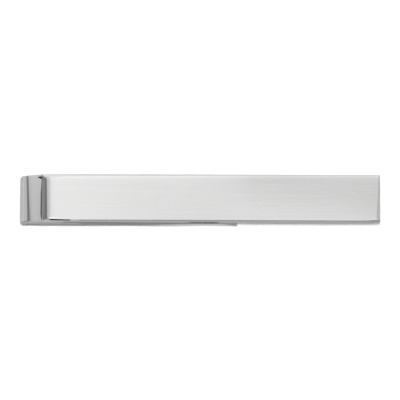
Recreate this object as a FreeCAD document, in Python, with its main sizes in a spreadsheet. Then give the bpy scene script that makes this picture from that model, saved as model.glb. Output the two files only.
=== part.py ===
"""Slide-on tie clip: a polished front bar brazed onto a folded spring strip.

Millimetres, +Z up. The clip lies on its back with the front face up, its length along X
and the fold at the left end. The origin is the centre of the clip's underside.
"""
import FreeCAD
import Part
import Sketcher
import math
import os

# Driving sizes in millimetres
SIZES = {
    "overall_length": 52.0,      # left end of the fold to the right end of the bar
    "bar_width": 7.0,
    "strip_width": 7.1,          # the strip stands a hair proud of the bar on both sides
    "bar_thickness": 1.25,
    "strip_thickness": 1.0,
    "nose_inner_radius": 0.6,    # inside of the return bend's upper half
    "fold_inner_radius": 0.1,    # inside of its tighter lower half
    "crown_drop": 0.8,           # front face down to the top of the return bend
    "bar_inset": 3.12,           # left end of the fold to the left end of the bar
    "roll_length": 1.8,          # rolled-over left end of the bar, along it
    "roll_drop": 0.29,           # and down from the face
    "lip_thickness": 0.5,        # bar metal left above the rabbet in its back
    "lap_length": 3.4,           # rabbet, from the bar's left end
    "braze_film": 0.05,          # solder between the bar and the strip's tab
    "film_setback": 0.1,         # the solder stops short of the bar's left end
    "scarf_length": 2.0,         # the strip's tab thins over this length under the bar
    "root_flat": 0.4,            # straight strip between the bend and the flexing line
    "rise_position": 16.5,       # left end to where the leg turns up towards the bar
    "rise_radius": 14.0,
    "climb_length": 11.0,        # from there to the crest, where the leg grips
    "crest_radius": 5.0,
    "grip_gap": 0.05,            # empty clip: crest to the back of the bar
    "lip_length": 4.1,           # crest to the end of the flared lip
    "lip_drop": 0.45,            # crest down to the end of the flared lip
    "face_edge_round": 0.2,      # long edges of the bar's face
    "back_edge_round": 0.2,      # long edges of the bar's back
    "strip_outer_round": 0.3,    # long edges of the strip, outside the fold
    "strip_inner_round": 0.35,   # long edges of the strip, inside the fold
    "bar_corner_round": 0.45,    # right end of the bar, seen from the front
    "tip_corner_round": 0.7,     # free end of the leg, seen from the front
}

# Places that follow from the driving sizes
PLACES = {
    "left_end": "=-sizes.overall_length / 2",
    "right_end": "=sizes.overall_length / 2",
    "fold_outer_radius": "=sizes.fold_inner_radius + sizes.strip_thickness",
    "fold_centre": "=left_end + fold_outer_radius",
    "nose_outer_radius": "=sizes.nose_inner_radius + sizes.strip_thickness",
    "nose_centre": "=left_end + nose_outer_radius",
    "face_height": "=fold_outer_radius + nose_outer_radius + sizes.crown_drop",
    "back_height": "=face_height - sizes.bar_thickness",
    "lip_height": "=face_height - sizes.lip_thickness",
    "tab_height": "=lip_height - sizes.braze_film",
    "bar_end": "=left_end + sizes.bar_inset",
    "lap_end": "=bar_end + sizes.lap_length",
    "tab_end": "=lap_end - sizes.braze_film",
    "roll_start": "=bar_end + sizes.roll_length",
    "roll_height": "=face_height - sizes.roll_drop",
    "roll_radius": "=(sizes.roll_length^2 + sizes.roll_drop^2) / (2 * sizes.roll_drop)",
    "rabbet_foot": "=back_height - sizes.bar_thickness",
    "shoulder_slope": "=atan2(tab_height - fold_outer_radius; bar_end - nose_centre)"
                      " - asin(nose_outer_radius"
                      " / hypot(tab_height - fold_outer_radius; bar_end - nose_centre))",
    "throat_height": "=tab_height - sizes.strip_thickness / cos(shoulder_slope)",
    "scarf_end": "=bar_end + sizes.scarf_length",
    "film_start": "=bar_end + sizes.film_setback",
    "film_foot": "=back_height + sizes.back_edge_round",
    "flex_line": "=fold_centre + sizes.root_flat",
    "rise_place": "=left_end + sizes.rise_position",
    "rise_centre": "=sizes.rise_radius + sizes.strip_thickness",
    "crest_place": "=rise_place + sizes.climb_length",
    "crest_height": "=back_height - sizes.grip_gap",
    "crest_centre": "=crest_height - sizes.strip_thickness - sizes.crest_radius",
    "crest_outer_radius": "=sizes.crest_radius + sizes.strip_thickness",
    "tip_place": "=crest_place + sizes.lip_length",
    "tip_height": "=crest_height - sizes.lip_drop",
}

START, END, CENTRE = 1, 2, 3
NEAR = 1e-5
BOX_SLACK = 1e-3                 # a bounding box stands this much off its edge at most


def write_sheet(doc, name, cells):
    sheet = doc.addObject("Spreadsheet::Sheet", name)
    for row, (alias, content) in enumerate(cells.items(), start=1):
        sheet.set(f"A{row}", alias.replace("_", " "))
        sheet.set(f"B{row}", str(content))
        sheet.setAlias(f"B{row}", alias)
    return sheet


def place(name):
    """A place that the sheet worked out, as a number."""
    value = places.get(name)
    return getattr(value, "Value", value)


def side_sketch(body, name):
    """A sketch in the XZ plane of the body: across is X and up is Z."""
    sketch = body.newObject("Sketcher::SketchObject", name)
    plane = next(f for f in body.Origin.OriginFeatures if f.Role == "XZ_Plane")
    sketch.AttachmentSupport = [(plane, "")]
    sketch.MapMode = "FlatFace"
    return sketch


def add_line(sketch, start, end):
    first = FreeCAD.Vector(start[0], start[1], 0)
    last = FreeCAD.Vector(end[0], end[1], 0)
    return sketch.addGeometry(Part.LineSegment(first, last), False)


def add_arc(sketch, centre, radius, start, end):
    """An arc drawn anticlockwise between two angles in radians."""
    middle = FreeCAD.Vector(centre[0], centre[1], 0)
    circle = Part.Circle(middle, FreeCAD.Vector(0, 0, 1), radius)
    return sketch.addGeometry(Part.ArcOfCircle(circle, start, end), False)


def bind(sketch, kind, where, value, expression):
    number = sketch.addConstraint(Sketcher.Constraint(kind, *where, value))
    sketch.setExpression(f"Constraints[{number}]", expression)


def pin(sketch, where, across=None, up=None):
    """Hold a point of the sketch at named places."""
    if across:
        bind(sketch, "DistanceX", (-1, 1, *where), place(across), f"places.{across}")
    if up:
        bind(sketch, "DistanceY", (-1, 1, *where), place(up), f"places.{up}")


def join(sketch, kind, *pairs):
    for first, second in pairs:
        sketch.addConstraint(Sketcher.Constraint(kind, *first, *second))


def level(sketch, *lines):
    for line in lines:
        sketch.addConstraint(Sketcher.Constraint("Horizontal", line))


def upright(sketch, *lines):
    for line in lines:
        sketch.addConstraint(Sketcher.Constraint("Vertical", line))


def square_outline(sketch, corners):
    """A closed outline of level and upright lines through corners given by place names."""
    points = [(place(across), place(up)) for across, up in corners]
    lines = [add_line(sketch, a, b) for a, b in zip(points, points[1:] + points[:1])]
    for line, following in zip(lines, lines[1:] + lines[:1]):
        join(sketch, "Coincident", ((line, END), (following, START)))
    level(sketch, *(n for n, a, b in zip(lines, corners, corners[1:] + corners[:1]) if a[1] == b[1]))
    upright(sketch, *(n for n, a, b in zip(lines, corners, corners[1:] + corners[:1]) if a[0] == b[0]))
    held = set()
    for line, (across, up) in zip(lines, corners):
        pin(sketch, (line, START), None if across in held else across, None if up in held else up)
        held.update((across, up))


def add_pad(body, name, sketch, width):
    """The outline carried across a named width, half to each side."""
    pad = body.newObject("PartDesign::Pad", name)
    pad.Profile = sketch
    pad.SideType = "Symmetric"
    pad.setExpression("Length", f"sizes.{width}")
    return finish(pad)


def add_fillet(body, name, base, size, chosen):
    names = [f"Edge{n}" for n, edge in enumerate(base.Shape.Edges, start=1) if chosen(edge)]
    if not names:
        raise RuntimeError(f"{name}: no edge to round")
    fillet = body.newObject("PartDesign::Fillet", name)
    fillet.Base = (base, names)
    fillet.setExpression("Radius", f"sizes.{size}")
    return finish(fillet)


def finish(feature):
    feature.Document.recompute()
    shape = feature.Shape
    if {"Invalid", "Error"} & set(feature.State) or shape.isNull() or not shape.isValid():
        raise RuntimeError(f"{feature.Name} did not build: {feature.State}")
    return feature


def ends(edge):
    return [v.Point for v in edge.Vertexes]


def all_at(edge, axis, value):
    """True if the whole edge lies at one place along an axis."""
    low = getattr(edge.BoundBox, axis + "Min")
    high = getattr(edge.BoundBox, axis + "Max")
    return abs(low - value) < BOX_SLACK and abs(high - value) < BOX_SLACK


def on_side(edge, width):
    half = SIZES[width] / 2
    return all_at(edge, "Y", half) or all_at(edge, "Y", -half)


def stands(edge):
    """True if the edge rises straight up."""
    box = edge.BoundBox
    return box.ZLength > BOX_SLACK and box.XLength < BOX_SLACK and box.YLength < BOX_SLACK


def make_front_bar(doc):
    body = doc.addObject("PartDesign::Body", "front_bar")
    face, back = place("face_height"), place("back_height")
    left, right = place("bar_end"), place("right_end")
    roll, radius, low = place("roll_start"), place("roll_radius"), place("roll_height")
    sketch = side_sketch(body, "bar_outline")
    sole = add_line(sketch, (left, back), (right, back))
    end = add_line(sketch, (right, back), (right, face))
    top = add_line(sketch, (right, face), (roll, face))
    rolled = add_arc(sketch, (roll, face - radius), radius, 0.5 * math.pi,
                     0.5 * math.pi + math.asin((roll - left) / radius))
    stop = add_line(sketch, (left, low), (left, back))
    join(sketch, "Coincident", ((sole, END), (end, START)), ((end, END), (top, START)),
         ((rolled, END), (stop, START)), ((stop, END), (sole, START)))
    join(sketch, "Tangent", ((top, END), (rolled, START)))
    level(sketch, sole, top)
    upright(sketch, end, stop)
    pin(sketch, (sole, START), "bar_end", "back_height")
    pin(sketch, (top, START), "right_end", "face_height")
    pin(sketch, (rolled, START), "roll_start")
    pin(sketch, (rolled, END), None, "roll_height")
    block = add_pad(body, "bar_block", sketch, "bar_width")
    corners = add_fillet(body, "right_corners", block, "bar_corner_round",
                         lambda e: stands(e) and all_at(e, "X", right))

    def on_rim(edge, height):
        return all_at(edge, "Z", height) and (on_side(edge, "bar_width") or all_at(edge, "X", right))

    soft = add_fillet(body, "face_edges", corners, "face_edge_round", lambda e: on_rim(e, face))
    eased = add_fillet(body, "back_edges", soft, "back_edge_round", lambda e: on_rim(e, back))
    cut = side_sketch(body, "rabbet_outline")
    square_outline(cut, [("left_end", "rabbet_foot"), ("lap_end", "rabbet_foot"),
                         ("lap_end", "lip_height"), ("left_end", "lip_height")])
    rabbet = body.newObject("PartDesign::Pocket", "rabbet")
    rabbet.Profile = cut
    rabbet.SideType = "Symmetric"
    rabbet.Type = "ThroughAll"
    before = eased.Shape.Volume
    finish(rabbet)
    if not 0 < rabbet.Shape.Volume < before:
        raise RuntimeError("the rabbet took no metal")
    return body


def make_braze_seam(doc):
    body = doc.addObject("PartDesign::Body", "braze_seam")
    sketch = side_sketch(body, "film_outline")
    square_outline(sketch, [("film_start", "tab_height"), ("tab_end", "tab_height"),
                            ("tab_end", "film_foot"), ("lap_end", "film_foot"),
                            ("lap_end", "lip_height"), ("film_start", "lip_height")])
    add_pad(body, "film", sketch, "bar_width")
    return body


def make_clip_fold(doc):
    body = doc.addObject("PartDesign::Body", "clip_fold")
    slope = math.radians(place("shoulder_slope"))
    thick = SIZES["strip_thickness"]
    outer, inner = place("fold_outer_radius"), SIZES["fold_inner_radius"]
    wide, snug = place("nose_outer_radius"), SIZES["nose_inner_radius"]
    middle, upper = (place("fold_centre"), outer), (place("nose_centre"), outer)
    turn, west, down = math.pi / 2 + slope, math.pi, 1.5 * math.pi
    reach = [(upper[0] + r * math.cos(turn), upper[1] + r * math.sin(turn)) for r in (wide, snug)]
    crease, top, flex = place("bar_end"), place("tab_height"), place("flex_line")
    under = place("throat_height")

    sketch = side_sketch(body, "fold_outline")
    shoulder = add_line(sketch, (crease, top), reach[0])
    nose = add_arc(sketch, upper, wide, turn, west)
    bend = add_arc(sketch, middle, outer, west, down)
    foot = add_line(sketch, (middle[0], 0), (flex, 0))
    cut = add_line(sketch, (flex, 0), (flex, thick))
    seat = add_line(sketch, (flex, thick), (middle[0], thick))
    hollow = add_arc(sketch, middle, inner, west, down)
    vault = add_arc(sketch, upper, snug, turn, west)
    throat = add_line(sketch, reach[1], (crease, under))
    end = add_line(sketch, (crease, under), (crease, top))
    join(sketch, "Tangent", ((shoulder, END), (nose, START)), ((nose, END), (bend, START)),
         ((bend, END), (foot, START)), ((seat, END), (hollow, END)),
         ((hollow, START), (vault, END)), ((vault, START), (throat, START)))
    join(sketch, "Coincident", ((foot, END), (cut, START)), ((cut, END), (seat, START)),
         ((throat, END), (end, START)), ((end, END), (shoulder, START)),
         ((bend, CENTRE), (hollow, CENTRE)), ((nose, CENTRE), (vault, CENTRE)))
    level(sketch, foot, seat)
    upright(sketch, cut, end)
    sketch.addConstraint(Sketcher.Constraint("Parallel", shoulder, throat))
    pin(sketch, (bend, CENTRE), "fold_centre", "fold_outer_radius")
    pin(sketch, (nose, CENTRE), "nose_centre", "fold_outer_radius")
    bind(sketch, "Radius", (nose,), wide, "places.nose_outer_radius")
    pin(sketch, (cut, START), "flex_line")
    bind(sketch, "DistanceY", (cut, START, cut, END), thick, "sizes.strip_thickness")
    pin(sketch, (shoulder, START), "bar_end", "tab_height")
    strip = add_pad(body, "fold_strip", sketch, "strip_width")

    def meets_axis(edge):
        return on_side(edge, "strip_width") and any(abs(p.x - middle[0]) < NEAR for p in ends(edge))

    soft = add_fillet(body, "fold_outer_edges", strip, "strip_outer_round",
                      lambda e: meets_axis(e) and e.BoundBox.ZMin < NEAR and len(ends(e)) == 2)
    add_fillet(body, "fold_inner_edges", soft, "strip_inner_round",
               lambda e: meets_axis(e) and any(abs(p.z - thick) < NEAR for p in ends(e)))

    tab_sketch = side_sketch(body, "tab_outline")
    back, tip, knee = place("back_height"), place("tab_end"), place("scarf_end")
    lid = add_line(tab_sketch, (crease, top), (tip, top))
    stop = add_line(tab_sketch, (tip, top), (tip, back))
    sole = add_line(tab_sketch, (tip, back), (knee, back))
    scarf = add_line(tab_sketch, (knee, back), (crease, under))
    root = add_line(tab_sketch, (crease, under), (crease, top))
    loop = [lid, stop, sole, scarf, root]
    join(tab_sketch, "Coincident", *(((a, END), (b, START)) for a, b in zip(loop, loop[1:] + loop[:1])))
    level(tab_sketch, lid, sole)
    upright(tab_sketch, stop, root)
    pin(tab_sketch, (lid, START), "bar_end", "tab_height")
    pin(tab_sketch, (stop, END), "tab_end", "back_height")
    pin(tab_sketch, (scarf, START), "scarf_end")
    pin(tab_sketch, (root, START), None, "throat_height")
    add_pad(body, "lap_tab", tab_sketch, "strip_width")
    return body


def leg_angles():
    """The leg's climb towards the bar and the fall of its flared lip, in radians."""
    across = place("crest_place") - place("rise_place")
    up = place("crest_centre") - place("rise_centre")
    both = place("rise_centre") + SIZES["crest_radius"]
    climb = math.atan2(up, across) + math.asin(both / math.hypot(across, up))
    out = place("tip_place") - place("crest_place")
    rise = place("tip_height") - place("crest_centre")
    fall = math.atan2(out, rise) - math.acos(place("crest_outer_radius") / math.hypot(out, rise))
    return climb, fall


def make_clip_leg(doc):
    body = doc.addObject("PartDesign::Body", "clip_leg")
    climb, fall = leg_angles()
    thick = SIZES["strip_thickness"]
    flex, tip = place("flex_line"), (place("tip_place"), place("tip_height"))
    low = (place("rise_place"), place("rise_centre"))
    high = (place("crest_place"), place("crest_centre"))
    down, upward = 1.5 * math.pi, 0.5 * math.pi

    def on_low(radius, angle):
        return low[0] + radius * math.sin(angle), low[1] - radius * math.cos(angle)

    def on_high(radius, angle):
        return high[0] + radius * math.sin(angle), high[1] + radius * math.cos(angle)

    low_radii = {"under": place("rise_centre"), "over": SIZES["rise_radius"]}
    high_radii = {"under": SIZES["crest_radius"], "over": place("crest_outer_radius")}
    sizes_of = {"under": ("places.rise_centre", "sizes.crest_radius"),
                "over": ("sizes.rise_radius", "places.crest_outer_radius")}
    heel = (tip[0] - thick * math.sin(fall), tip[1] - thick * math.cos(fall))
    far = {"under": heel, "over": tip}
    height = {"under": 0.0, "over": thick}

    sketch = side_sketch(body, "leg_outline")
    skin = {}
    for face in ("under", "over"):
        flat = add_line(sketch, (flex, height[face]), (low[0], height[face]))
        turn = add_arc(sketch, low, low_radii[face], down, down + climb)
        ramp = add_line(sketch, on_low(low_radii[face], climb), on_high(high_radii[face], -climb))
        crest = add_arc(sketch, high, high_radii[face], upward - fall, upward + climb)
        lip = add_line(sketch, on_high(high_radii[face], fall), far[face])
        join(sketch, "Tangent", ((flat, END), (turn, START)), ((turn, END), (ramp, START)),
             ((ramp, END), (crest, END)), ((crest, START), (lip, START)))
        level(sketch, flat)
        for arc, radius, size in ((turn, low_radii[face], sizes_of[face][0]),
                                  (crest, high_radii[face], sizes_of[face][1])):
            bind(sketch, "Radius", (arc,), radius, size)
        skin[face] = (flat, turn, ramp, crest, lip)
    under, over = skin["under"], skin["over"]
    root = add_line(sketch, (flex, thick), (flex, 0))
    cap = add_line(sketch, heel, tip)
    join(sketch, "Coincident", ((over[0], START), (root, START)), ((root, END), (under[0], START)),
         ((under[4], END), (cap, START)), ((cap, END), (over[4], END)),
         ((under[1], CENTRE), (over[1], CENTRE)), ((under[3], CENTRE), (over[3], CENTRE)))
    upright(sketch, root)
    sketch.addConstraint(Sketcher.Constraint("Parallel", under[4], over[4]))
    sketch.addConstraint(Sketcher.Constraint("Perpendicular", cap, over[4]))
    pin(sketch, (under[1], CENTRE), "rise_place", "rise_centre")
    pin(sketch, (under[3], CENTRE), "crest_place", "crest_centre")
    pin(sketch, (root, START), "flex_line")
    pin(sketch, (cap, END), "tip_place", "tip_height")
    strip = add_pad(body, "leg_strip", sketch, "strip_width")

    corners = add_fillet(body, "tip_corners", strip, "tip_corner_round",
                         lambda e: on_side(e, "strip_width") and min(p.x for p in ends(e)) > heel[0] - NEAR)
    soft = add_fillet(body, "leg_outer_edges", corners, "strip_outer_round",
                      lambda e: on_side(e, "strip_width") and e.BoundBox.ZMax < BOX_SLACK)
    add_fillet(body, "leg_inner_edges", soft, "strip_inner_round",
               lambda e: on_side(e, "strip_width") and all_at(e, "Z", thick))
    return body


doc = FreeCAD.newDocument("tie_clip")
write_sheet(doc, "sizes", SIZES)
places = write_sheet(doc, "places", PLACES)
doc.recompute()
bodies = [make(doc) for make in (make_front_bar, make_braze_seam, make_clip_fold, make_clip_leg)]
doc.recompute()
for thing in doc.Objects:
    if {"Invalid", "Error"} & set(thing.State):
        raise RuntimeError(f"{thing.Name} did not build: {thing.State}")
os.makedirs("parts", exist_ok=True)
for body in bodies:
    solid = body.Shape
    if solid.isNull() or not solid.isValid() or len(solid.Solids) != 1:
        raise RuntimeError(f"{body.Label} is not one sound solid")
    solid.exportStep(f"parts/{body.Label}.step")
    box = solid.optimalBoundingBox(False, False)
    print(f"{body.Label}: {solid.Volume:.2f} cubic mm, x {box.XMin:.3f} to {box.XMax:.3f},"
          f" y {box.YMin:.3f} to {box.YMax:.3f}, z {box.ZMin:.3f} to {box.ZMax:.3f}")
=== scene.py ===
"""Slide-on tie clip: polished front bar, braze line and folded spring strip, dressed on its frame.

Metres, +Z up. The clip lies on its back with the front face up, its length along X and the
fold at the left end. Every piece is a closed side outline carried across the clip's width.
"""
import math
from collections import namedtuple

import bpy
import numpy as np
from bpy.props import FloatProperty, FloatVectorProperty, PointerProperty
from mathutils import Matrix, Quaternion, Vector


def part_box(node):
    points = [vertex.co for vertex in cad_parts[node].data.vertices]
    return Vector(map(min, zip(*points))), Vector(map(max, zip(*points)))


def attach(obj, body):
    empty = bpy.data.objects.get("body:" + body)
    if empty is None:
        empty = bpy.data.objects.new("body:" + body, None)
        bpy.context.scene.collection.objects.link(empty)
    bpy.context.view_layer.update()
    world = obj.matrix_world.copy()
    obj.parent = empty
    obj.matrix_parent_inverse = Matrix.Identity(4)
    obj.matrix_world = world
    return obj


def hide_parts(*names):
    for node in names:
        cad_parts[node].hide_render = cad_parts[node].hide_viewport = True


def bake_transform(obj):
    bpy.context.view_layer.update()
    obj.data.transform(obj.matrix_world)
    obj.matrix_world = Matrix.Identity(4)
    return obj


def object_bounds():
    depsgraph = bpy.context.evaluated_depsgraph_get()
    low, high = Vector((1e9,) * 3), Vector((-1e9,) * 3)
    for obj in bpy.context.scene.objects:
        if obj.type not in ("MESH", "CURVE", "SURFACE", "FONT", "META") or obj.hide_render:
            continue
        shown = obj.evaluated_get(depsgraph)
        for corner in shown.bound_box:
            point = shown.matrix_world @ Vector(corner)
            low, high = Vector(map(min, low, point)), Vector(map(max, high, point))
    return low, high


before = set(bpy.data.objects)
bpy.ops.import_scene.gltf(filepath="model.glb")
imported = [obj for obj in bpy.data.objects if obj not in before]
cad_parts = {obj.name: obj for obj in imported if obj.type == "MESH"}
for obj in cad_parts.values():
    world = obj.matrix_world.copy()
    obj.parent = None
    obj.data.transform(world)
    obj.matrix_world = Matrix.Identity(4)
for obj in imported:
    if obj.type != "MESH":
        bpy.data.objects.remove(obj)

bl_info = {
    "name": "Tie Clip",
    "version": (1, 0, 0),
    "blender": (4, 5, 0),
    "location": "View3D > Sidebar > Tie Clip",
    "description": "Builds a slide-on tie clip and its studio around the clip's frame",
    "category": "Add Mesh",
}

MM = 0.001
CAD_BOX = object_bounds()
BAR_LOW, BAR_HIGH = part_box("front_bar")
SEAM_LOW, SEAM_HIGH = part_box("braze_seam")
FOLD_LOW, FOLD_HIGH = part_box("clip_fold")
LEG_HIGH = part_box("clip_leg")[1]
BAR_WIDTH = BAR_HIGH.y - BAR_LOW.y
STRIP_WIDTH = FOLD_HIGH.y - FOLD_LOW.y

# A quarter and a half turn
QUARTER = 0.5 * math.pi
HALF = math.pi

# How finely the surfaces are cut
EDGE_STEPS = 8
FLAT_STEPS = 24
POOL_STEPS = 120
BEND_STEPS = 20
EASE_STEPS = 6
SHOULDER_STEPS = 12
FACE_STEPS = 120
RUN_STEP = 0.4 * MM
SLOPE_STEP = 1e-4

# How the face falls, its corners widen and the braze pools and thins across the width
FALL_POWER = 9
CORNER_SPREAD = 2.2
POOL_SPREAD = 6.0
THIN_TOE = 0.2
FAR_TAPER_END, FAR_TAPER = 0.75, 0.55
NEAR_TAPER_END, NEAR_TAPER = 0.98, 0.3

# Roundings as shares of the braze film, of the strip and of its outer edges
FILM_EDGE, FILM_EASE, FILM_SUNK = 0.12, 0.2, 0.3
TIP_EASE = 0.2
CREASE_EASE = 0.4

# Metal: how unpolished the leg's inner side is, which also mixes in a little painted shade, then (along,
# across, detail) of its lines per metre
DULL_AND_SHADE = 0.15
FINE_LINES = (90.0, 16000.0, 3.0)
BROAD_BANDS = (40.0, 4200.0, 2.0)
HAIRLINES = (350.0, 5200.0, 1.0)
STREAK_MIX = 0.6
CLOUD_DETAIL, CLOUD_MIX = 3.0, 0.55
HAZE_SCALE = 260.0
HAZE_SHARE = 0.4
BAND_SPAN = (0.3, 0.7)
BAND_SHARE = 0.8
HAIR_CUT = (0.66, 0.72)
HAIR_ROUGH = 0.05
HAIR_DEPTH = -0.4
LINE_SPAN = (0.25, 0.75)
LINE_ROUGH = 0.03
BAR_LINE_DEPTH = 0.0012 * MM
STRIP_LINE_DEPTH = 0.0016 * MM
GRAIN_SCALE = 9000.0
GRAIN_DEPTH = 0.004 * MM
GRAIN_CUT = (0.4, 0.65)
GRAIN_SPAN = (0.3, 0.7)
GRAIN_ROUGH = (0.35, 0.5)
TARNISH_AND_SHADE_CUT = (0.75, 0.95)


def length(name, about, default):
    return FloatProperty(name=name, description=about, default=default, unit="LENGTH", precision=6)


def share(name, about, default):
    return FloatProperty(name=name, description=about, default=default, min=0, max=1, subtype="FACTOR")


def colour(name, about, default):
    return FloatVectorProperty(name=name, description=about, default=default, size=3, min=0, max=1,
                               subtype="COLOR")


class TieClipSizes(bpy.types.PropertyGroup):
    """Sizes of the bar, the strip and the braze that the frame's boxes don't give."""
    strip_thickness: length("Strip thickness", "Thickness of the spring strip", 1.0 * MM)
    fold_inner_radius: length("Fold inner radius", "Inside of the return bend's lower half", 0.1 * MM)
    nose_inner_radius: length("Nose inner radius", "Round nose that sets the shoulder's slope", 0.575 * MM)
    nose_near_length: length("Nose near length", "Inner half length of the nose, near side", 0.81 * MM)
    nose_far_length: length("Nose far length", "Inner half length of the nose, far side", 0.42 * MM)
    shoulder_swell: length("Shoulder swell", "Waviness of the strip before the bar", 0.0036 * MM)
    scarf_length: length("Scarf length", "Length over which the strip's tab thins", 2.0 * MM)
    rise_position: length("Rise position", "Left end to where the leg turns up", 16.5 * MM)
    rise_radius: length("Rise radius", "Upper side of the bend where the leg turns up", 14.0 * MM)
    climb_length: length("Climb length", "From the turn to the crest that grips", 11.0 * MM)
    crest_radius: length("Crest radius", "Under side of the crest", 5.0 * MM)
    lip_drop: length("Lip drop", "Crest down to the end of the flared lip", 0.45 * MM)
    nose_edge_round: length("Nose edge round", "Rounding of the strip's edges at the fold", 0.3 * MM)
    leg_edge_round: length("Leg edge round", "Rounding of the leg's long edges", 0.1 * MM)
    inner_edge_round: length("Inner edge round", "Rounding of the strip's inner edges", 0.4 * MM)
    crest_edge_round: length("Crest edge round", "Rounding of the same edges at the crest", 0.08 * MM)
    tip_corner_round: length("Tip corner round", "Free end of the leg from the front", 0.7 * MM)
    roll_length: length("Roll length", "Rolled-over left end of the bar, along it", 2.4 * MM)
    roll_drop: length("Roll drop", "Rolled-over left end of the bar, down from the face", 0.333 * MM)
    roll_firm: length("Roll firmness", "Corner depth held back at the crease", 0.08 * MM)
    roll_nip: length("Roll nip", "Rounding of the rolled end where it meets the strip", 0.025 * MM)
    near_edge: length("Near edge", "Reach of the face's rounding along its near edge", 0.25 * MM)
    far_edge: length("Far edge", "Reach of the face's far rounding at the left end", 0.48 * MM)
    far_edge_end: length("Far edge end", "Reach of the face's far rounding at the right end", 0.15 * MM)
    edge_depth: length("Edge depth", "Depth of the face's edge rounding", 0.16 * MM)
    corner_depth: length("Corner depth", "Depth of that rounding at the corners", 0.34 * MM)
    left_corner: length("Left corner", "Added reach at the left end's corners", 0.48 * MM)
    left_corner_length: length("Left corner length", "Length over which it widens", 4.9 * MM)
    right_corner: length("Right corner", "Added reach at the right end's near corner", 0.8 * MM)
    right_corner_length: length("Right corner length", "Length over which it widens", 2.6 * MM)
    end_edge: length("End edge", "Reach of the right end's rounding at the near side", 0.65 * MM)
    end_edge_far: length("End edge far", "Reach of the right end's rounding at the far side", 0.22 * MM)
    end_edge_depth: length("End edge depth", "Depth of the right end's rounding", 0.25 * MM)
    bar_widening: length("Bar widening", "Half width gained towards the bar's right end", 0.015 * MM)
    back_edge_round: length("Back edge round", "Rounding of the bar's edges at its back", 0.2 * MM)
    bar_corner_round: length("Bar corner round", "Right end of the bar from the front", 0.25 * MM)
    face_fall: length("Face fall", "Fall of the polished face towards its far edge", 0.0145 * MM)
    tight_edge: length("Tight edge", "Rounding left on the edges that meet at the braze", 0.015 * MM)
    tight_corner: length("Tight corner", "Corners of the tab and the rabbet from the side", 0.022 * MM)
    ledge_round: length("Ledge round", "Rounding of the tab's edges beside the bar", 0.02 * MM)
    braze_gap: length("Braze gap", "Crease to the bar's rolled end at the near side", 0.08 * MM)
    braze_gap_far: length("Braze gap far", "Crease to the bar's rolled end at the far side", 0.005 * MM)
    braze_toe: length("Braze toe", "Braze that shows along the crease, out from it", 0.13 * MM)
    braze_climb: length("Braze climb", "Braze that shows along the crease, up the bar's end", 0.12 * MM)
    braze_end: length("Braze end", "Reach of the braze's ends along the crease", 0.6 * MM)
    braze_draw: length("Braze draw", "Depth by which those ends are drawn in", 0.06 * MM)
    braze_pool: length("Braze pool", "Place of the pooled braze across the width", 3.06 * MM)
    braze_pool_width: length("Braze pool width", "Half width of the pooled braze", 0.16 * MM)


class TieClipFinish(bpy.types.PropertyGroup):
    """Colours and polish of the clip's metals and of the studio."""
    silver: colour("Silver", "Polished metal of the bar", (0.90, 0.90, 0.895))
    silver_worn: colour("Worn silver", "Faint polish lines and haze on the bar", (0.865, 0.865, 0.86))
    spring: colour("Spring metal", "Rolled metal of the strip", (0.86, 0.86, 0.855))
    spring_worn: colour("Worn spring metal", "Duller patches of the strip", (0.83, 0.83, 0.825))
    # The inside colour is dark: partly duller unpolished metal, partly painted shade inside the fold,
    # behind the bar and in the slit at the crest.
    inside: colour("Inside", "Unpolished metal inside the fold and behind the bar", (0.30, 0.30, 0.295))
    solder_bright: colour("Bright solder", "Braze polished flush with the sides", (0.80, 0.80, 0.79))
    # The two solder colours below are near-black: partly dark oxide on the braze, partly painted shade in
    # the crease.
    solder: colour("Solder", "Braze that shows as a line at the joint", (0.04, 0.039, 0.037))
    dark_solder_and_crease_shade: colour("Dark solder", "Tarnish in the braze line", (0.015, 0.015, 0.014))
    floor: colour("Floor", "Paper under the clip", (0.86, 0.86, 0.86))
    bar_polish: share("Bar polish", "Roughness of the bar's polished metal", 0.08)
    strip_polish: share("Strip polish", "Roughness of the strip's outer side", 0.1)
    inside_polish: share("Inside polish", "Roughness of the unpolished metal", 0.34)


# Side outlines in the XZ plane, walked clockwise, so that outwards is to the left
Outline = namedtuple("Outline", "points normals reach depth inside")


def run(start, end, steps=None):
    """Straight run P(s) = A + s (B - A), its end left out."""
    start, end = np.array(start, float), np.array(end, float)
    reach = np.hypot(*(end - start))
    steps = steps or max(2, math.ceil(reach / RUN_STEP))
    s = np.arange(steps) / steps
    along = (end - start) / reach
    return start + s[:, None] * (end - start), np.tile((-along[1], along[0]), (steps, 1)), s


def bend(centre, radius, first, last, steps=BEND_STEPS):
    """Arc P(a) = C + r (cos a, sin a), its end left out; outwards is away from C where a falls."""
    s = np.arange(steps) / steps
    angle = first + s * (last - first)
    away = np.stack((np.cos(angle), np.sin(angle)), axis=1)
    return np.array(centre) + radius * away, away * (1 if last < first else -1), s


def arch(centre, across, up, first, last):
    """Ellipse P(a) = C + (p^2 cos a, q^2 sin a) / sqrt(p^2 cos^2 a + q^2 sin^2 a), its end left out.

    p and q are its half axes and a is the angle of its normal, outwards where a falls.
    """
    away, facing, s = bend((0, 0), 1, first, last)
    stretch = np.hypot(*(away * (across, up)).T)
    return np.array(centre) + away * (across ** 2, up ** 2) / stretch[:, None], facing, s


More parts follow.
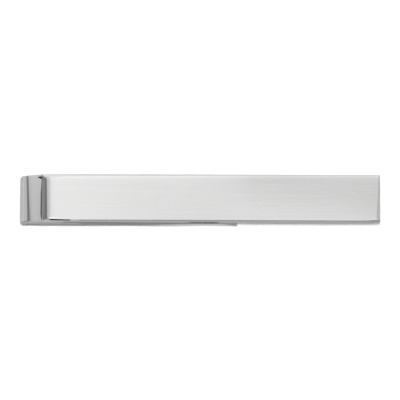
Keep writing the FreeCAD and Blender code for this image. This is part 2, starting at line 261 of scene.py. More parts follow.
def chain(*corners, steps=None):
    """Straight runs through (x, z, round) corners, each inner corner eased by a tangent arc.

    The arc of radius r starts and ends r tan(turn / 2) before and after its corner.
    """
    spots = [np.array(c[:2], float) for c in corners]
    headings = [math.atan2(*(b - a)[::-1]) for a, b in zip(spots, spots[1:])]
    parts, start = [], spots[0]
    for spot, (_, _, radius), before, after in zip(spots[1:], corners[1:], headings, headings[1:]):
        turn = (after - before + HALF) % (2 * HALF) - HALF
        back = radius * math.tan(abs(turn) / 2)
        entry = spot - back * np.array((math.cos(before), math.sin(before)))
        side = math.copysign(QUARTER, turn)
        centre = entry + radius * np.array((math.cos(before + side), math.sin(before + side)))
        parts += [run(start, entry, steps),
                  bend(centre, radius, before - side, before - side + turn, EASE_STEPS)]
        start = spot + back * np.array((math.cos(after), math.sin(after)))
    return parts + [run(start, spots[-1], steps)]


def swell(part, height):
    """A straight part made wavy: P(s) + a sin(2 pi s) N, over its length."""
    points, normals, s = part
    along = points[-1] - points[0]
    slope = 2 * HALF * height * np.cos(2 * HALF * s) / (np.hypot(*along) / s[-1])
    leaned = normals - slope[:, None] * along / np.hypot(*along)
    return points + height * np.sin(2 * HALF * s)[:, None] * normals, leaned, s


def rounded(part, first, last=None, inside=0):
    """A part of an outline with the edge rounding at its two ends; inside is how unpolished it is and how
    much painted shade its colour takes.
    """
    points, normals, s = part
    reach = first + s * ((first if last is None else last) - first)
    return points, normals, reach, reach, np.full(len(s), float(inside))


def deepened(part, depth):
    """A rounded part whose rounding has another depth than its reach."""
    points, normals, reach, _, inside = part
    return points, normals, reach, np.full(len(reach), depth), inside


def close_outline(parts):
    """The parts of an outline joined into one."""
    return Outline(*(np.concatenate(arrays) for arrays in zip(*parts)))


def even_mix(v):
    """Evenly from 0 at the near side to 1 at the far side."""
    return (1 + v) / 2


def carry_across(name, near, far, width, steps=FLAT_STEPS, mix=even_mix, fall=0.0, widen=0.0):
    """Mesh of a closed outline carried across a width, with rounded long edges.

    P(u, y) = near(u) + m(y / h) (far(u) - near(u)), with h half the width, and N(u, y) likewise; h grows
    evenly along X, by the widening in all.
    S(u, b) = P - (q (1 - cos b) + d max(0, y / h)^k) N at y = h - r (1 - sin b) on the far side, and at
    its opposite on the near side: b falls from a quarter turn at the side wall to 0 at the flat, which y
    then crosses evenly. r and q are the rounding's reach and depth, d the flat's fall at its far edge.
    The normal is N r cos b + Y q sin b, leaned by the slopes of the fall and of the change across.
    """
    x = near.points[:, :1]
    half = width / 2 + widen * (x - x.min()) / np.ptp(x)
    quarter = np.linspace(QUARTER, 0, EDGE_STEPS + 1)
    flat = np.linspace(0, 1, steps + 1)[1:-1]
    near_y = near.reach[:, None] * (1 - np.sin(quarter)) - half
    far_y = half - far.reach[:, None] * (1 - np.sin(quarter[::-1]))
    flat_y = near_y[:, -1:] + flat * (far_y[:, :1] - near_y[:, -1:])
    y = np.concatenate((near_y, flat_y, far_y), axis=1)
    turn = np.concatenate((-quarter, np.zeros(len(flat)), quarter[::-1]))
    over = np.concatenate((np.zeros(len(quarter)), flat, np.ones(len(quarter))))
    reach = near.reach[:, None] + over * (far.reach - near.reach)[:, None]
    depth = near.depth[:, None] + over * (far.depth - near.depth)[:, None]

    v = y / half
    change = mix(v)[..., None]
    change_slope = (mix(v + SLOPE_STEP) - mix(v - SLOPE_STEP)) / (2 * SLOPE_STEP * half)
    apart = (far.points - near.points)[:, None]
    points = near.points[:, None] + change * apart
    normals = near.normals[:, None] + change * (far.normals - near.normals)[:, None]
    normals /= np.linalg.norm(normals, axis=2, keepdims=True)
    beyond = np.clip(v, 0, None)
    sink = depth * (1 - np.cos(turn)) + fall * beyond ** FALL_POWER
    lean = FALL_POWER * fall * beyond ** (FALL_POWER - 1) / half
    lean -= change_slope * np.sum(normals * apart, axis=2)
    places = np.insert(points - sink[..., None] * normals, 1, y, axis=2)
    facing = np.insert(normals * (reach * np.cos(turn))[..., None], 1, depth * np.sin(turn), axis=2)
    facing /= np.linalg.norm(facing, axis=2, keepdims=True)
    facing[..., 1] += lean
    facing /= np.linalg.norm(facing, axis=2, keepdims=True)

    index = np.arange(y.size).reshape(y.shape)
    nxt = np.roll(index, -1, axis=0)
    quads = np.stack((index[:, :-1], nxt[:, :-1], nxt[:, 1:], index[:, 1:]), axis=2).reshape(-1, 4)
    walls = [index[::-1, 0].tolist(), index[:, -1].tolist()]
    mesh = bpy.data.meshes.new(name)
    mesh.from_pydata(places.reshape(-1, 3).tolist(), [], quads.tolist() + walls)
    mesh.polygons.foreach_set("use_smooth", np.ones(len(mesh.polygons), bool))
    lay_uv(mesh, near.points, y, quads, walls)
    # The inside attribute sets how unpolished a spot is and how much painted shade its colour takes.
    dull_and_shade = mesh.attributes.new("inside", "FLOAT", "POINT")
    dull_and_shade.data.foreach_set("value", (near.inside[:, None] * np.cos(turn)).astype(np.float32).ravel())
    mesh.normals_split_custom_set_from_vertices(facing.reshape(-1, 3))
    mesh.validate()
    made = bpy.data.objects.new(name, mesh)
    bpy.context.scene.collection.objects.link(made)
    return made


def lay_uv(mesh, points, y, quads, walls):
    """UV in metres: the way round the outline and the place across it; side walls take X and Z."""
    steps = np.hypot(*(np.roll(points, -1, axis=0) - points).T)
    way = np.concatenate(([0], np.cumsum(steps)))
    over = y.shape[1]
    row, column = np.divmod(quads, over)
    row[:, 1:3] = row[:, :1] + 1
    skin = np.stack((way[row], y[row % len(points), column]), axis=2).reshape(-1, 2)
    sides = [points[np.array(wall) // over] for wall in walls]
    layer = mesh.uv_layers.new(name="surface")
    layer.uv.foreach_set("vector", np.concatenate([skin] + sides).astype(np.float32).ravel())


def rolled_end(left, face, sizes):
    """Rolled end of the bar P(s) = (x0 - s, face - d (s / L)^3), walked from the crease to the flat."""
    reach, drop = sizes.roll_length, sizes.roll_drop
    steep = 3 * drop / reach
    short = sizes.roll_nip * (1 - math.sin(math.atan(steep)))
    s = np.linspace(reach - short, 0, BEND_STEPS, endpoint=False)
    slope = steep * (s / reach) ** 2
    normals = np.stack((-slope, np.ones(len(s))), axis=1) / np.hypot(slope, 1)[:, None]
    points = np.stack((left + reach - s, face - drop * (s / reach) ** 3), axis=1)
    return points, normals, np.linspace(0, 1, len(s), endpoint=False)


def bar_outline(sizes, gap, edge, edge_end, end_corner, brow):
    """Front bar: rolled left end, flat face, eased right end, back and the rabbet for the strip's tab.

    The gap lies between the crease and the rolled end, and the brow is the reach of the right end's easing.
    The face's edge rounding tapers along the bar from the edge to the edge end. Towards the left end it
    reaches c s^p further, with c the left corner, p the spread and s from 0 to 1 over that corner's
    length, and towards the right end likewise, with the end corner.
    """
    left, right = BAR_LOW.x + gap, BAR_HIGH.x
    face, back, lip = BAR_HIGH.z, BAR_LOW.z, SEAM_HIGH.z
    lap = SEAM_HIGH.x
    ease, tight, end = sizes.back_edge_round, sizes.tight_edge, sizes.bar_corner_round
    corner = sizes.tight_corner
    deep = sizes.end_edge_depth
    roll = rolled_end(left, face, sizes)
    nip = sizes.roll_nip
    nip_centre = roll[0][0] - nip * roll[1][0]
    nip_end = math.atan2(*roll[1][0][::-1])

    def room(z):
        """Depth that the rounding may have at a height."""
        return z - lip - tight - sizes.roll_firm * (face - z) / sizes.roll_drop

    def soft_edge(part):
        x = part[0][:, 0] - left
        first = np.clip(1 - x / sizes.left_corner_length, 0, 1) ** CORNER_SPREAD
        last = np.clip(1 - (right - left - x) / sizes.right_corner_length, 0, 1) ** CORNER_SPREAD
        taper = edge + x / (right - left) * (edge_end - edge)
        reach = taper + sizes.left_corner * first + end_corner * last
        most = np.maximum(first, last * end_corner / sizes.right_corner)
        depth = sizes.edge_depth + (sizes.corner_depth - sizes.edge_depth) * most
        return part[0], part[1], reach, np.minimum(depth, room(part[0][:, 1])), np.zeros(len(x))

    widest = edge + sizes.left_corner
    lap_runs = chain((right - ease, back, 0), (lap, back, corner), (lap, lip, corner),
                     (left, lip, corner), nip_centre - (nip, 0), steps=SHOULDER_STEPS)
    nip_run = bend(nip_centre, nip, HALF, nip_end, EASE_STEPS)
    nip_depth = tight + nip_run[2] * (room(roll[0][0, 1]) - tight)
    flat = soft_edge(run((left + sizes.roll_length, face), (right - brow, face), FACE_STEPS))
    end_run = arch((right - brow, face - deep), brow, deep, QUARTER, 0)
    end_depth = flat[3][-1] + end_run[2] * (end - flat[3][-1])
    return close_outline([
        deepened(rounded(nip_run, widest), nip_depth),
        soft_edge(roll),
        flat,
        deepened(rounded(end_run, flat[2][-1], end), end_depth),
        rounded(run((right, face - deep), (right, back + ease)), end),
        rounded(bend((right - ease, back + ease), ease, 0, -QUARTER, EASE_STEPS), end, ease),
        # The bar's back and rabbet take the dark inside colour: painted shade behind the bar, partly duller
        # metal.
        rounded(lap_runs[0], ease, inside=1),
        rounded(lap_runs[1], ease, tight, inside=1),
        *(rounded(part, tight, inside=1) for part in lap_runs[2:-2]),
        *(deepened(rounded(part, widest), tight) for part in lap_runs[-2:]),
    ])


def shoulder_slope(sizes):
    """Slope of the line from the crease that touches a round nose."""
    outer = sizes.nose_inner_radius + sizes.strip_thickness
    out = BAR_LOW.x - FOLD_LOW.x - outer
    up = FOLD_HIGH.z - sizes.fold_inner_radius - sizes.strip_thickness
    return math.atan2(up, out) - math.asin(outer / math.hypot(out, up))


def seam_outline(sizes, toe):
    """Braze: a toe in the crease, a film over the strip's tab, and a foot behind the tab's end.

    The toe is drawn in at both sides of the clip, the film and the foot aren't.
    """
    crease, right, top, foot = BAR_LOW.x, SEAM_HIGH.x, SEAM_HIGH.z, SEAM_LOW.z
    tab, under = FOLD_HIGH.x, FOLD_HIGH.z
    film = top - under
    edge, ease, sunk = FILM_EDGE * film, FILM_EASE * film, FILM_SUNK * film
    low = under - toe * math.tan(shoulder_slope(sizes)) - sunk
    gap = crease + sizes.braze_gap
    parts = chain((crease, low - sunk, 0), (crease - toe, low, ease),
                  (gap, top + sizes.braze_climb, ease), (gap + sunk, top, ease), (right, top, ease),
                  (right, foot, ease), (tab, foot, ease), (tab, under, ease),
                  (crease + sunk, under, ease), (crease, low - sunk, 0), steps=SHOULDER_STEPS)
    # The parts that show in the crease take the near-black solder: partly dark oxide, partly painted shade
    # of the crease.
    shown = [rounded(part, sizes.braze_end, inside=1) for part in parts[:5]]
    return close_outline([*(deepened(part, sizes.braze_draw) for part in shown),
                          *(rounded(part, edge) for part in parts[5:])])


def strip_outline(sizes, wide):
    """Spring strip: tab, shoulder, nose and fold, then the leg with its rise, crest and flared lip.

    The nose is an ellipse that touches the shoulder's line. Its inner half length is given, since the
    nose tapers across the strip.
    """
    thick = sizes.strip_thickness
    left, crease = FOLD_LOW.x, BAR_LOW.x
    outer, inner, tight = sizes.nose_edge_round, sizes.inner_edge_round, sizes.tight_edge
    under, tip_round, pinch = sizes.leg_edge_round, sizes.tip_corner_round, sizes.crest_edge_round
    snug = sizes.fold_inner_radius
    fold = np.array((left + snug + thick, snug + thick))
    nose = np.array((left + wide + thick, snug + thick))

    # Shoulder: the line from the crease that touches the nose
    tab_top, tab_end, back = FOLD_HIGH.z, FOLD_HIGH.x, BAR_LOW.z
    slope = shoulder_slope(sizes)
    turn = QUARTER + slope
    lean, rest = math.sin(slope), math.cos(slope)
    above = (tab_top - nose[1]) * rest - (crease - nose[0]) * lean
    throat = tab_top - thick / rest

    def nose_arch(inset, first, last):
        """The nose, or its inside at the strip's thickness from it."""
        across = wide + thick - inset
        up = math.sqrt((above - inset) ** 2 - (across * lean) ** 2) / rest
        touch = nose + np.array((-across ** 2 * lean, up ** 2 * rest)) / (above - inset)
        return arch(nose, across, up, first, last), touch

    nose_out, touch_out = nose_arch(0, HALF, turn)
    nose_in, touch_in = nose_arch(thick, turn, HALF)

    # Leg: two tangent bends and the flared lip
    low = np.array((left + sizes.rise_position, sizes.rise_radius + thick))
    high = np.array((low[0] + sizes.climb_length, LEG_HIGH.z - thick - sizes.crest_radius))
    across, fall_up = high - low
    both = low[1] + sizes.crest_radius
    climb = math.atan2(fall_up, across) + math.asin(both / math.hypot(across, fall_up))
    tip = np.array((LEG_HIGH.x, LEG_HIGH.z - sizes.lip_drop))
    reach, rise = tip - high
    crest = sizes.crest_radius + thick
    fall = math.atan2(reach, rise) - math.acos(crest / math.hypot(reach, rise))
    heel = tip - np.array((0, thick / math.cos(fall)))
    down = -QUARTER

    def on_low(radius):
        return low + radius * np.array((math.sin(climb), -math.cos(climb)))

    def on_high(radius, angle):
        return high + radius * np.array((math.sin(angle), math.cos(angle)))

    tip_ease = TIP_EASE * thick
    crease_edge = CREASE_EASE * outer
    shoulder = chain((*touch_out, 0), (crease, tab_top, thick), (tab_end, tab_top, sizes.tight_corner),
                     (tab_end, back, sizes.tight_corner), (crease + sizes.scarf_length, back, thick),
                     (crease, throat, thick), (*touch_in, 0), steps=SHOULDER_STEPS)
    lip = chain((*on_high(crest, fall), 0), (*tip, tip_ease), (*heel, tip_ease),
                (*on_high(sizes.crest_radius, fall), 0))
    return close_outline([
        rounded(nose_out, outer),
        rounded(swell(shoulder[0], sizes.shoulder_swell), outer, crease_edge),
        rounded(shoulder[1], crease_edge, sizes.ledge_round),
        rounded(shoulder[2], sizes.ledge_round),
        # Tab, throat, nose inside and fold take the dark inside colour: painted shade under the bar and
        # inside the fold, partly duller metal.
        *(rounded(part, tight, inside=1) for part in shoulder[3:10]),
        rounded(shoulder[10], tight, inner, inside=1),
        rounded(nose_in, inner, inside=1),
        rounded(bend(fold, snug, HALF, HALF + QUARTER), inner, inside=1),
        # The leg's inner side takes a little of that painted shade.
        rounded(run((fold[0], thick), (low[0], thick)), inner, inside=DULL_AND_SHADE),
        rounded(bend(low, sizes.rise_radius, down, down + climb), inner, inside=DULL_AND_SHADE),
        rounded(run(on_low(sizes.rise_radius), on_high(crest, -climb)), inner, pinch, inside=DULL_AND_SHADE),
        # The crest's inner side takes the full dark inside colour: painted shade in the slit where the
        # crest meets the bar.
        rounded(bend(high, crest, QUARTER + climb, QUARTER - fall), pinch, inside=1),
        rounded(lip[0], pinch, inner, inside=DULL_AND_SHADE),
        rounded(lip[1], inner, tip_round),
        rounded(lip[2], tip_round),
        rounded(lip[3], tip_round, under),
        rounded(lip[4], under),
        rounded(bend(high, sizes.crest_radius, QUARTER - fall, QUARTER + climb), under),
        rounded(run(on_high(sizes.crest_radius, -climb), on_low(low[1])), under),
        rounded(bend(low, low[1], down + climb, down), under),
        rounded(run((low[0], 0), (fold[0], 0)), under),
        rounded(bend(fold, snug + thick, HALF + QUARTER, HALF), under, outer),
    ])


# Node trees
def add_node(tree, kind, values=None, **settings):
    """A node with its settings, and its inputs set or linked by name or number."""
    made = tree.nodes.new(kind)
    for key, value in settings.items():
        setattr(made, key, value)
    for key, value in (values or {}).items():
        if isinstance(value, bpy.types.NodeSocket):
            tree.links.new(value, made.inputs[key])
        else:
            made.inputs[key].default_value = value
    return made


def opaque(rgb):
    return (*rgb, 1.0)


def new_material(name):
    made = bpy.data.materials.new(name)
    made.use_nodes = True
    made.node_tree.nodes.clear()
    return made, made.node_tree


def streaks(tree, along, across, detail):
    """Noise drawn out along the strip: the pattern follows the piece's own UV, in metres."""
    uv = add_node(tree, "ShaderNodeUVMap", uv_map="surface")
    laid = add_node(tree, "ShaderNodeMapping", {"Vector": uv.outputs["UV"], "Scale": (along, across, 1)})
    return add_node(tree, "ShaderNodeTexNoise", {"Vector": laid.outputs["Vector"], "Scale": 1.0,
                                                 "Detail": detail, "Roughness": STREAK_MIX})


def clouds(tree, scale):
    """Soft patches over the piece on its Object coordinates."""
    spot = add_node(tree, "ShaderNodeTexCoord")
    return add_node(tree, "ShaderNodeTexNoise", {"Vector": spot.outputs["Object"], "Scale": scale,
                                                 "Detail": CLOUD_DETAIL, "Roughness": CLOUD_MIX})


def remap(tree, value, low, high, to_low, to_high, kind="LINEAR"):
    made = add_node(tree, "ShaderNodeMapRange", {"Value": value, "From Min": low, "From Max": high,
                                                 "To Min": to_low, "To Max": to_high},
                    interpolation_type=kind)
    return made.outputs["Result"]


def math_node(tree, operation, *values):
    """A sum on values or sockets."""
    return add_node(tree, "ShaderNodeMath", dict(enumerate(values)), operation=operation).outputs[0]


def blend_colour(tree, factor, first, second):
    made = add_node(tree, "ShaderNodeMix", {0: factor, 6: first, 7: second}, data_type="RGBA")
    return made.outputs[2]


def polished_metal(name, clean, worn, polish, line_depth, finish):
    """Polished metal: lengthwise polish lines, a few hairlines and soft haze; duller inside the clip, and
    darker there with painted shade.
    """
    made, tree = new_material(name)
    lines = streaks(tree, *FINE_LINES).outputs["Fac"]
    bands = streaks(tree, *BROAD_BANDS).outputs["Fac"]
    hairs = streaks(tree, *HAIRLINES).outputs["Fac"]
    haze = clouds(tree, HAZE_SCALE).outputs["Fac"]
    hair = remap(tree, hairs, *HAIR_CUT, 0.0, 1.0)
    band = remap(tree, bands, *BAND_SPAN, 0.0, BAND_SHARE)
    tint = math_node(tree, "MULTIPLY_ADD", haze, HAZE_SHARE, band)
    fine = remap(tree, lines, *LINE_SPAN, polish - LINE_ROUGH, polish + LINE_ROUGH)
    gloss = math_node(tree, "MULTIPLY_ADD", hair, HAIR_ROUGH, fine)
    relief = math_node(tree, "MULTIPLY_ADD", hair, HAIR_DEPTH, lines)
    bump = add_node(tree, "ShaderNodeBump", {"Strength": 1.0, "Distance": line_depth, "Height": relief})
    # Where the inside attribute is set, the colour turns to the dark inside colour: partly duller metal,
    # partly painted shade.
    dull_and_shade = add_node(tree, "ShaderNodeAttribute", attribute_name="inside").outputs["Fac"]
    outside = blend_colour(tree, tint, opaque(clean), opaque(worn))
    unpolished = remap(tree, dull_and_shade, 0.0, DULL_AND_SHADE, 0.0, 1.0)
    rough = add_node(tree, "ShaderNodeMix", {0: unpolished, 2: gloss, 3: finish.inside_polish})
    skin = add_node(tree, "ShaderNodeBsdfPrincipled",
                    {"Base Color": blend_colour(tree, dull_and_shade, outside, opaque(finish.inside)),
                     "Metallic": 1.0, "Roughness": rough.outputs[0], "Normal": bump.outputs["Normal"]})
    add_node(tree, "ShaderNodeOutputMaterial", {"Surface": skin.outputs["BSDF"]})
    return made


def solder_metal(finish):
    """Braze with grainy relief, near-black where it shows in the crease, partly dark oxide and partly
    painted shade of the crease; polished towards the clip's sides.
    """
    made, tree = new_material("braze_solder_and_crease_shade")
    grain = clouds(tree, GRAIN_SCALE).outputs["Fac"]
    shade = remap(tree, grain, *GRAIN_CUT, 0.0, 1.0)
    bump = add_node(tree, "ShaderNodeBump", {"Strength": 1.0, "Distance": GRAIN_DEPTH, "Height": grain})
    dull_and_shade = add_node(tree, "ShaderNodeAttribute", attribute_name="inside").outputs["Fac"]
    # Near-black braze in the crease: partly dark oxide, partly painted shade of the crease; polished braze
    # towards the sides.
    tarnish_and_crease_shade = blend_colour(tree, shade, opaque(finish.solder), opaque(finish.dark_solder_and_crease_shade))
    tarnish_and_shade_mask = remap(tree, dull_and_shade, *TARNISH_AND_SHADE_CUT, 0.0, 1.0)
    skin = add_node(tree, "ShaderNodeBsdfPrincipled",
                    {"Base Color": blend_colour(tree, tarnish_and_shade_mask, opaque(finish.solder_bright), tarnish_and_crease_shade),
                     "Metallic": 1.0, "Roughness": remap(tree, grain, *GRAIN_SPAN, *GRAIN_ROUGH),
                     "Normal": bump.outputs["Normal"]})
    add_node(tree, "ShaderNodeOutputMaterial", {"Surface": skin.outputs["BSDF"]})
    return made


def scene_sizes():
    return bpy.context.scene.tie_clip_sizes


def scene_finish():
    return bpy.context.scene.tie_clip_finish


class TIECLIP_OT_front_bar(bpy.types.Operator):
    """Build the polished front bar in place of its frame solid"""
    bl_idname = "tie_clip.front_bar"
    bl_label = "Front Bar"

    def execute(self, context):
        sizes, finish = scene_sizes(), scene_finish()
        near = bar_outline(sizes, sizes.braze_gap, sizes.near_edge, sizes.near_edge, sizes.right_corner,
                           sizes.end_edge)
        far = bar_outline(sizes, sizes.braze_gap_far, sizes.far_edge, sizes.far_edge_end, 0.0,
                          sizes.end_edge_far)
        piece = carry_across("polished_bar", near, far, BAR_WIDTH, fall=sizes.face_fall,
                             widen=sizes.bar_widening)
        piece.data.materials.append(polished_metal("polished_silver", finish.silver, finish.silver_worn,
                                                   finish.bar_polish, BAR_LINE_DEPTH, finish))
        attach(piece, "bar")
        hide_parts("front_bar")
        return {"FINISHED"}


class TIECLIP_OT_braze_line(bpy.types.Operator):
    """Build the braze that joins the bar to the strip's tab"""
    bl_idname = "tie_clip.braze_line"
    bl_label = "Braze Line"

    def execute(self, context):
        sizes = scene_sizes()
        thin = seam_outline(sizes, THIN_TOE * sizes.braze_toe)
        full = seam_outline(sizes, sizes.braze_toe)

        def pooled(v):
            """Thin towards both sides, full about the middle, and a pool before the far end."""
            far = np.clip((FAR_TAPER_END - v) / FAR_TAPER, 0, 1)
            near = np.clip((NEAR_TAPER_END + v) / NEAR_TAPER, 0, 1)
            away = (v * BAR_WIDTH / 2 - sizes.braze_pool) / sizes.braze_pool_width
            return far * near + POOL_SPREAD * np.exp(-away ** 2)

        piece = carry_across("braze_line", thin, full, BAR_WIDTH, POOL_STEPS, pooled)
        piece.data.materials.append(solder_metal(scene_finish()))
        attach(piece, "bar")
        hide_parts("braze_seam")
        return {"FINISHED"}


class TIECLIP_OT_spring_strip(bpy.types.Operator):
    """Build the folded strip in one piece"""
    bl_idname = "tie_clip.spring_strip"
    bl_label = "Spring Strip"

    def execute(self, context):
        sizes, finish = scene_sizes(), scene_finish()
        near = strip_outline(sizes, sizes.nose_near_length)
        far = strip_outline(sizes, sizes.nose_far_length)
        piece = carry_across("folded_spring", near, far, STRIP_WIDTH)
        piece.data.materials.append(polished_metal("spring_silver", finish.spring, finish.spring_worn,
                                                   finish.strip_polish, STRIP_LINE_DEPTH, finish))
        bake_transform(piece)
        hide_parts("clip_fold", "clip_leg")
        return {"FINISHED"}


# Studio
FLOOR_HALF = 1.2
FLOOR_DROP = 0.01 * MM
FLOOR_LIFT = 0.2
CAMERA_DISTANCE = 1.0
CAMERA_ELEVATION = math.radians(75.7)
CAMERA_ROLL = math.radians(0.2)
CAMERA_CLIP = (0.01, 10.0)
SENSOR = 36.0
VIEW_WIDTH = 57.8 * MM
VIEW_RISE = 0.06 * MM
KEY_PLACE = Vector((0.022, -0.095, 0.6))
KEY_SIZE = 0.09
KEY_POWER = 2.6
PANEL_HEIGHT = 0.2
PANEL_LEFT, PANEL_RIGHT = -0.42, 0.17
PANEL_NEAR, PANEL_FAR = -0.06, 0.35
PANEL_GAIN = 1.32

# Levels by a spot's lean, depth and slant on the panel, and by direction in the room
LEAN_STOPS = ((-2.0, 0.55), (-1.1, 0.55), (-0.95, 0.2), (-0.73, 0.22), (-0.65, 0.18), (-0.522, 0.16),
              (-0.49, 0.6), (-0.41, 0.565), (-0.385, 0.585), (-0.362, 0.62), (-0.32, 0.76),
              (-0.262, 0.83), (-0.179, 0.88), (-0.136, 0.9), (-0.117, 0.908), (-0.068, 0.85),
              (-0.015, 0.815), (0.0, 0.805), (0.022, 0.785), (0.045, 0.66), (0.065, 0.662),
              (0.09, 0.673), (0.135, 0.675), (0.155, 0.64), (0.45, 0.5), (0.83, 0.46))
LEAN_FADE = (0.053, 0.25, 0.35)
DEPTH_STOPS = ((-0.06, 0.73), (0.03, 0.73), (0.044, 0.758), (0.0565, 0.758), (0.06, 0.955),
               (0.066, 0.955), (0.08, 0.73), (0.35, 0.7))
SLANT_STEER = 0.19
SLANT_EDGE = (0.051, 0.0536)
SLANT_LIFT = 0.18
SLANT_START = (0.0025, 0.0096)
ROOM_STOPS = ((-1.0, 0.27), (-0.2, 0.31), (0.25, 0.58), (0.7, 0.85), (0.88, 0.8), (1.0, 0.5))

# Cards by name: two corners in millimetres and a level
CARDS = (("left_card", (-76, -33.5, 0.1), (-26.3, 33.5, 0.1), 0.55),
         ("front_card", (-76, -33.5, 0.15), (76, -3.65, 0.15), 0.42),
         ("edge_card", (-24, -3.66, 0.15), (-14, -3.62, 0.15), 0.42),
         ("lip_card", (-6.5, -4.05, 0.16), (7.2, -3.66, 0.16), 0.58),
         ("right_card", (26.3, -33.5, 0.1), (76, 33.5, 0.1), 0.45),
         ("white_card", (-75, -55, 199), (-22.5, 36, 199), 1.15),
         ("pale_post", (-25, -4.2, 1.6), (-17.4, -4.2, 4.6), 0.52),
         ("dark_post", (-21.7, -3.56, 3.41), (-18.7, -3.56, 4.7), 0.0),
         # The last card is painted shade: a dark sheet beside the crest whose reflection darkens the slit
         # between the leg and the bar, where shade falls.
         ("slit_shade_strip", (-1.5, -3.64, 2.02), (2.7, -3.64, 2.42), 0.12))


def flat_sheet(name, low, high):
    """A flat sheet P(u, v) = A + u (B - A) x + v (B - A) yz, u and v at 0 and 1, between two corners."""
    u, v = np.array((0, 1, 1, 0)), np.array((0, 0, 1, 1))
    along = np.stack((u, v, v), axis=1)
    spots = np.array(low) + along * (np.array(high) - np.array(low))
    mesh = bpy.data.meshes.new(name)
    mesh.from_pydata(spots.tolist(), [], [(0, 1, 2, 3)])
    made = bpy.data.objects.new(name, mesh)
    bpy.context.scene.collection.objects.link(made)
    return made


def hang(sheet, material):
    """A card or panel out of the picture, which shows only as a reflection in the metal."""
    sheet.data.materials.append(material)
    sheet.visible_camera = False
    sheet.visible_shadow = False
    sheet.visible_diffuse = False


def seen_directly(tree):
    """1 for rays that show the background: camera, glossy and transmission."""
    path = add_node(tree, "ShaderNodeLightPath").outputs
    mirrored = math_node(tree, "ADD", path["Is Glossy Ray"], path["Is Transmission Ray"])
    return math_node(tree, "MINIMUM", math_node(tree, "ADD", path["Is Camera Ray"], mirrored), 1.0)


def paper_floor(finish):
    """Pale paper that keeps the clip's soft shadow, lifted to white where it is seen directly."""
    made, tree = new_material("studio_paper")
    matte = add_node(tree, "ShaderNodeBsdfDiffuse", {"Color": opaque(finish.floor)})
    lift = math_node(tree, "MULTIPLY", seen_directly(tree), FLOOR_LIFT)
    glow = add_node(tree, "ShaderNodeEmission", {"Strength": lift})
    both = add_node(tree, "ShaderNodeAddShader", {0: matte.outputs[0], 1: glow.outputs[0]})
    add_node(tree, "ShaderNodeOutputMaterial", {"Surface": both.outputs[0]})
    return made


def level_ramp(tree, value, stops):
    """Grey level by a value: straight steps between (value, level) stops."""
    low, high = stops[0][0], stops[-1][0]
    made = add_node(tree, "ShaderNodeValToRGB", {"Fac": remap(tree, value, low, high, 0.0, 1.0)})
    steps = made.color_ramp.elements
    for _ in range(len(stops) - 2):
        steps.new(0.5)
    for step, (place, level) in zip(steps, stops):
        step.position = (place - low) / (high - low)
        step.color = (level, level, level, 1)
    return made.outputs["Color"]


def panel_light():
    """Overhead soft panel: dark far to the left, and brighter below a soft slanting edge on the right.

    Its level goes by the lean X / sqrt(Y^2 + H^2) of a spot from the upright through the clip, H the
    panel's height. The lean counts for less towards the back, so that the dark part narrows there.
    """
    made, tree = new_material("soft_panel")
    spot = add_node(tree, "ShaderNodeTexCoord")
    part = add_node(tree, "ShaderNodeSeparateXYZ", {0: spot.outputs["Object"]})
    x, y = part.outputs["X"], part.outputs["Y"]
    away = math_node(tree, "SQRT", math_node(tree, "MULTIPLY_ADD", y, y, PANEL_HEIGHT ** 2))
    fade = remap(tree, y, LEAN_FADE[0], LEAN_FADE[1], 1.0, LEAN_FADE[2])
    lean = math_node(tree, "MULTIPLY", math_node(tree, "DIVIDE", x, away), fade)
    slant = math_node(tree, "MULTIPLY_ADD", x, SLANT_STEER, y)
    below = remap(tree, slant, *SLANT_EDGE, SLANT_LIFT, 0.0, "SMOOTHSTEP")
    lift = math_node(tree, "MULTIPLY", below, remap(tree, x, *SLANT_START, 0.0, 1.0))
    side = math_node(tree, "ADD", level_ramp(tree, lean, LEAN_STOPS), lift)
    shaped = math_node(tree, "MULTIPLY", side, level_ramp(tree, y, DEPTH_STOPS))
    strength = math_node(tree, "MULTIPLY", shaped, PANEL_GAIN)
    glow = add_node(tree, "ShaderNodeEmission", {"Strength": strength})
    add_node(tree, "ShaderNodeOutputMaterial", {"Surface": glow.outputs[0]})
    return made


def grey_card(name, level):
    made, tree = new_material(name)
    glow = add_node(tree, "ShaderNodeEmission", {"Strength": level})
    add_node(tree, "ShaderNodeOutputMaterial", {"Surface": glow.outputs[0]})
    return made


def studio_world():
    """Room light by direction: dimmer in front and brighter behind."""
    world = bpy.data.worlds.new("studio_room")
    bpy.context.scene.world = world
    world.use_nodes = True
    tree = world.node_tree
    tree.nodes.clear()
    spot = add_node(tree, "ShaderNodeTexCoord")
    part = add_node(tree, "ShaderNodeSeparateXYZ", {0: spot.outputs["Generated"]})
    room = level_ramp(tree, part.outputs["Y"], ROOM_STOPS)
    glow = add_node(tree, "ShaderNodeBackground", {"Color": (1, 1, 1, 1), "Strength": room})
    add_node(tree, "ShaderNodeOutputWorld", {"Surface": glow.outputs[0]})


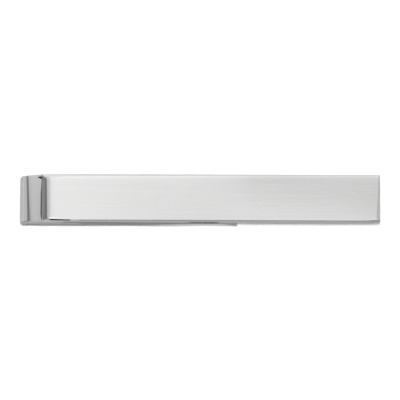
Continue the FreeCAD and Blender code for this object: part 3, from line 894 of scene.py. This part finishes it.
class TIECLIP_OT_stage(bpy.types.Operator):
    """Lay the paper floor, hang the soft panel and cards, light the room and set the camera"""
    bl_idname = "tie_clip.stage"
    bl_label = "Stage"

    def execute(self, context):
        finish = scene_finish()
        ground = CAD_BOX[0].z - FLOOR_DROP
        floor = flat_sheet("paper_floor", (-FLOOR_HALF, -FLOOR_HALF, ground),
                           (FLOOR_HALF, FLOOR_HALF, ground))
        floor.data.materials.append(paper_floor(finish))
        panel = flat_sheet("soft_panel", (PANEL_LEFT, PANEL_NEAR, PANEL_HEIGHT),
                           (PANEL_RIGHT, PANEL_FAR, PANEL_HEIGHT))
        hang(panel, panel_light())
        for name, first, last, level in CARDS:
            hang(flat_sheet(name, MM * Vector(first), MM * Vector(last)), grey_card(name, level))
        studio_world()
        lamp = bpy.data.lights.new("soft_key", "AREA")
        lamp.shape, lamp.size, lamp.energy = "SQUARE", KEY_SIZE, KEY_POWER
        key = bpy.data.objects.new("soft_key", lamp)
        context.scene.collection.objects.link(key)
        key.location = KEY_PLACE
        key.rotation_mode = "QUATERNION"
        key.rotation_quaternion = (-key.location).to_track_quat("-Z", "Y")
        key.visible_glossy = False
        middle = 0.5 * (CAD_BOX[0] + CAD_BOX[1])
        away = Vector((0, -math.cos(CAMERA_ELEVATION), math.sin(CAMERA_ELEVATION)))
        lens = bpy.data.cameras.new("long_lens")
        lens.sensor_width = SENSOR
        lens.lens = SENSOR * CAMERA_DISTANCE / VIEW_WIDTH
        lens.clip_start, lens.clip_end = CAMERA_CLIP
        camera = bpy.data.objects.new("camera", lens)
        context.scene.collection.objects.link(camera)
        aim = (-away).to_track_quat("-Z", "Y")
        camera.location = middle + CAMERA_DISTANCE * away + aim @ Vector((0, VIEW_RISE, 0))
        camera.rotation_mode = "QUATERNION"
        camera.rotation_quaternion = aim @ Quaternion((0, 0, 1), CAMERA_ROLL)
        context.scene.camera = camera
        context.scene.view_settings.view_transform = "Standard"
        return {"FINISHED"}


OPERATORS = (TIECLIP_OT_front_bar, TIECLIP_OT_braze_line, TIECLIP_OT_spring_strip, TIECLIP_OT_stage)


class TIECLIP_PT_panel(bpy.types.Panel):
    """Sizes, finish and steps of the tie clip"""
    bl_idname = "TIECLIP_PT_panel"
    bl_label = "Tie Clip"
    bl_space_type = "VIEW_3D"
    bl_region_type = "UI"
    bl_category = "Tie Clip"

    def draw(self, context):
        column = self.layout.column()
        for group in (context.scene.tie_clip_sizes, context.scene.tie_clip_finish):
            for name in group.__annotations__:
                column.prop(group, name)
        for step in OPERATORS:
            column.operator(step.bl_idname)


CLASSES = (TieClipSizes, TieClipFinish, *OPERATORS, TIECLIP_PT_panel)


def register():
    for item in CLASSES:
        bpy.utils.register_class(item)
    bpy.types.Scene.tie_clip_sizes = PointerProperty(type=TieClipSizes)
    bpy.types.Scene.tie_clip_finish = PointerProperty(type=TieClipFinish)


def unregister():
    del bpy.types.Scene.tie_clip_finish
    del bpy.types.Scene.tie_clip_sizes
    for item in reversed(CLASSES):
        bpy.utils.unregister_class(item)


def main():
    register()
    bpy.ops.tie_clip.front_bar()
    bpy.ops.tie_clip.braze_line()
    bpy.ops.tie_clip.spring_strip()
    bpy.ops.tie_clip.stage()


if __name__ == "__main__":
    main()
